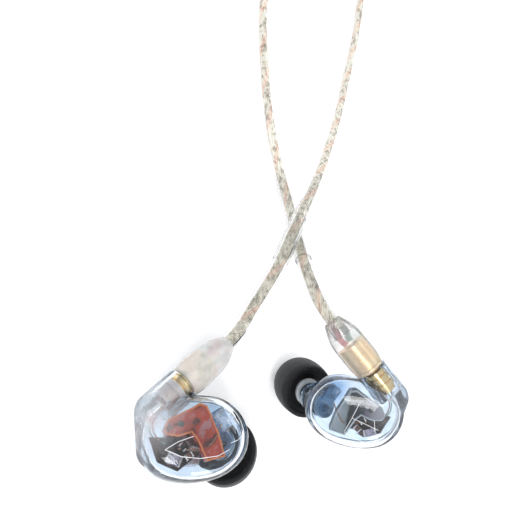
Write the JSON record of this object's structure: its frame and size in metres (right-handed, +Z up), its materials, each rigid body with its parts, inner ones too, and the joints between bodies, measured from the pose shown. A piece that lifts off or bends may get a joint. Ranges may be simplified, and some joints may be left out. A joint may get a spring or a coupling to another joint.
{
  "type": "in ear monitors",
  "caption": "Pair of clear-shelled in ear monitors with foam tips, swivelling plug-in cables, chin slider, Y-split and a stereo mini plug.",
  "frame": {"origin": "on the table, under the middle of the two earpieces' box", "axes": "+Z up from the table, +X from the right-ear piece to the left-ear piece, +Y along the cords away from the earpieces"},
  "size_m": [0.1634, 0.1934, 0.0338],
  "materials": {
    "clear_shell": "clear polished moulded plastic",
    "right_carrier": "orange-red moulded plastic",
    "left_carrier": "dark blue-grey moulded plastic",
    "circuit_board": "solder-masked board",
    "pin_black": "black moulded plastic",
    "board_parts": "moulded components with tinned ends",
    "driver_can": "satin metal can",
    "right_chamber": "pale blue plastic",
    "left_chamber": "blue plastic",
    "clear_stem": "clear moulded plastic",
    "damper_mesh": "woven mesh",
    "core_grey": "soft grey plastic",
    "black_foam": "fine-celled foam",
    "gold": "gold plated",
    "right_insulator": "red moulded plastic",
    "left_insulator": "blue moulded plastic",
    "white_insulator": "white plastic",
    "steel": "spring steel",
    "boot_soft": "milky soft plastic",
    "cord_clear": "clear jacket over twisted silver and copper strands",
    "tube_clear": "clear formable tube over the strands",
    "sleeve_clear": "clear shrink sleeve",
    "tie_fabric": "hook-and-loop strap"
  },
  "bodies": {
    "cable": {"right_plug_barrel": "gold", "right_plug_insulator": "white_insulator", "right_plug_pin": "gold", "right_cable_boot": "boot_soft", "right_side_cord": "cord_clear", "right_ear_wire": "tube_clear", "right_shrink_sleeve": "sleeve_clear", "left_plug_barrel": "gold", "left_plug_insulator": "white_insulator", "left_plug_pin": "gold", "left_cable_boot": "boot_soft", "left_side_cord": "cord_clear", "left_ear_wire": "tube_clear", "left_shrink_sleeve": "sleeve_clear", "main_cord": "cord_clear", "side_coil": "cord_clear", "main_coil": "cord_clear", "coil_ties": "tie_fabric", "y_split": "boot_soft", "plug_relief": "boot_soft", "plug_grip": "boot_soft", "plug_sleeve_contact": "gold", "plug_ring_contact": "gold", "plug_insulating_bands": "white_insulator", "plug_tip_contact": "gold"},
    "right_snap_ring": {"right_snap_ring": "steel"},
    "right_earpiece": {"right_face_cover": "clear_shell", "right_inner_shell": "clear_shell", "right_driver_carrier": "right_carrier", "right_crossover_board": "circuit_board", "right_locating_pins": "pin_black", "right_crossover_parts": "board_parts", "right_tweeter": "driver_can", "right_woofers": "driver_can", "right_sound_chamber": "right_chamber", "right_nozzle_stem": "clear_stem", "right_acoustic_damper": "damper_mesh", "right_jack_barrel": "gold", "right_jack_insulator": "right_insulator", "right_jack_contact": "gold"},
    "right_ear_tip": {"right_tip_core": "core_grey", "right_foam_tip": "black_foam"},
    "left_snap_ring": {"left_snap_ring": "steel"},
    "left_earpiece": {"left_face_cover": "clear_shell", "left_inner_shell": "clear_shell", "left_driver_carrier": "left_carrier", "left_crossover_board": "circuit_board", "left_locating_pins": "pin_black", "left_crossover_parts": "board_parts", "left_tweeter": "driver_can", "left_woofers": "driver_can", "left_sound_chamber": "left_chamber", "left_nozzle_stem": "clear_stem", "left_acoustic_damper": "damper_mesh", "left_jack_barrel": "gold", "left_jack_insulator": "left_insulator", "left_jack_contact": "gold"},
    "left_ear_tip": {"left_tip_core": "core_grey", "left_foam_tip": "black_foam"},
    "slider": {"chin_slider": "sleeve_clear"}
  },
  "joints": [
    {"name": "right_connector_swivel", "type": "hinge", "parent": "cable", "child": "right_snap_ring", "pos_m": [-0.0172, 0.01048, 0.01481], "axis": [0.8557, 0.4841, -0.1831], "continuous": true},
    {"name": "right_connector_unplug", "type": "slide", "parent": "right_snap_ring", "child": "right_earpiece", "axis": [-0.8557, -0.4841, 0.1831], "range_m": [0, 0.006]},
    {"name": "right_tip_pull", "type": "slide", "parent": "right_earpiece", "child": "right_ear_tip", "axis": [0.425, -0.4124, -0.8058], "range_m": [0, 0.01]},
    {"name": "left_connector_swivel", "type": "hinge", "parent": "cable", "child": "left_snap_ring", "pos_m": [0.01988, 0.00872, 0.02864], "axis": [-0.4888, 0.834, -0.2558], "continuous": true},
    {"name": "left_connector_unplug", "type": "slide", "parent": "left_snap_ring", "child": "left_earpiece", "axis": [0.4888, -0.834, 0.2558], "range_m": [0, 0.006]},
    {"name": "left_tip_pull", "type": "slide", "parent": "left_earpiece", "child": "left_ear_tip", "axis": [0.2536, 0.2344, -0.9385], "range_m": [0, 0.01]},
    {"name": "chin_slide", "type": "slide", "parent": "cable", "child": "slider", "axis": [-1, 0, 0], "range_m": [0, 0.009]}
  ]
}
